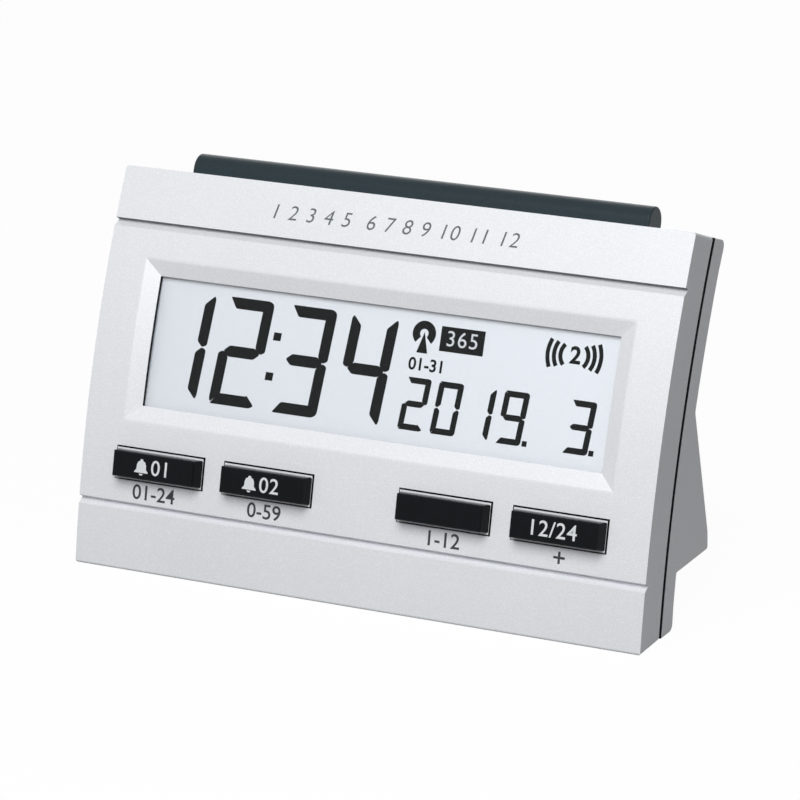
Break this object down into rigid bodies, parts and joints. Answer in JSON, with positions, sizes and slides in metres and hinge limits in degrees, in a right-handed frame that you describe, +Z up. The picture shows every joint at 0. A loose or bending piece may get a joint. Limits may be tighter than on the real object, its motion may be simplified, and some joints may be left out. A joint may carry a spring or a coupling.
{
  "type": "radio-controlled alarm clock",
  "caption": "Leaning desk alarm clock with a curved silver face, wide liquid-crystal display, front keys, a snooze bar along the top, a rear battery wedge and a fold-down stand.",
  "frame": {"origin": "on the table, under the middle of the clock's box", "axes": "+X to the right seen from the front, +Y to the back, +Z up"},
  "size_m": [0.125, 0.0394, 0.0799],
  "materials": {
    "silver_case": "silver paint with a fine metallic fleck",
    "bar_grey": "satin dark blue-grey",
    "key_black": "glossy black with a light rim",
    "clear_lens": "clear acrylic",
    "display_glass": "pale grey-green liquid-crystal panel",
    "white_plastic": "natural white",
    "strip_rubber": "soft",
    "board_green": "solder mask",
    "switch_black": "moulded",
    "plunger_red": "moulded",
    "chip_black": "epoxy",
    "can_steel": "plain can",
    "capacitor_blue": "sleeved",
    "ferrite": "matt dark grey",
    "copper": "lacquered wire",
    "red_lead": "insulation",
    "cell_sleeve": "printed sleeve, no marking",
    "contact_steel": "nickel plated",
    "screw_steel": "zinc plated"
  },
  "bodies": {
    "case": {"front_shell": "silver_case", "rear_shell": "silver_case", "snooze_switches": "switch_black", "key_switches": "switch_black", "lens": "clear_lens", "lcd_glass": "display_glass", "lcd_holder": "white_plastic", "contact_strips": "strip_rubber", "main_board": "board_green", "clock_chip": "chip_black", "receiver_chip": "chip_black", "crystal": "can_steel", "capacitor": "capacitor_blue", "ferrite_rod": "ferrite", "antenna_coil": "copper", "antenna_leads": "copper", "buzzer": "switch_black", "buzzer_leads": "red_lead", "cell_1": "cell_sleeve", "cell_2": "cell_sleeve", "contact_plus": "contact_steel", "contact_minus": "contact_steel", "case_screws": "screw_steel", "board_screws": "screw_steel"},
    "snooze": {"snooze_bar": "bar_grey", "snooze_plungers": "switch_black"},
    "door": {"battery_door": "silver_case"},
    "stand_leg": {"stand": "silver_case"},
    "button_1": {"key_1": "key_black", "plunger_1": "plunger_red"},
    "button_2": {"key_2": "key_black", "plunger_2": "plunger_red"},
    "button_3": {"key_3": "key_black", "plunger_3": "plunger_red"},
    "button_4": {"key_4": "key_black", "plunger_4": "plunger_red"}
  },
  "joints": [
    {"name": "key_1_press", "type": "slide", "parent": "case", "child": "button_1", "axis": [0, 0.975, -0.2221], "range_m": [0, 0.0008], "stiffness_N_per_m": 1200},
    {"name": "key_2_press", "type": "slide", "parent": "case", "child": "button_2", "axis": [0, 0.975, -0.2221], "range_m": [0, 0.0008], "stiffness_N_per_m": 1200},
    {"name": "key_3_press", "type": "slide", "parent": "case", "child": "button_3", "axis": [0, 0.975, -0.2221], "range_m": [0, 0.0008], "stiffness_N_per_m": 1200},
    {"name": "key_4_press", "type": "slide", "parent": "case", "child": "button_4", "axis": [0, 0.975, -0.2221], "range_m": [0, 0.0008], "stiffness_N_per_m": 1200},
    {"name": "snooze_press", "type": "slide", "parent": "case", "child": "snooze", "axis": [0, -0.3239, -0.9461], "range_m": [0, 0.0012], "stiffness_N_per_m": 1700},
    {"name": "door_lift", "type": "slide", "parent": "case", "child": "door", "axis": [0, 0.9576, 0.2882], "range_m": [0, 0.02]},
    {"name": "stand_fold", "type": "hinge", "parent": "case", "child": "stand_leg", "pos_m": [0, 0.01187, 0.0129], "axis": [-1, 0, 0], "range_deg": [0, 102]}
  ]
}
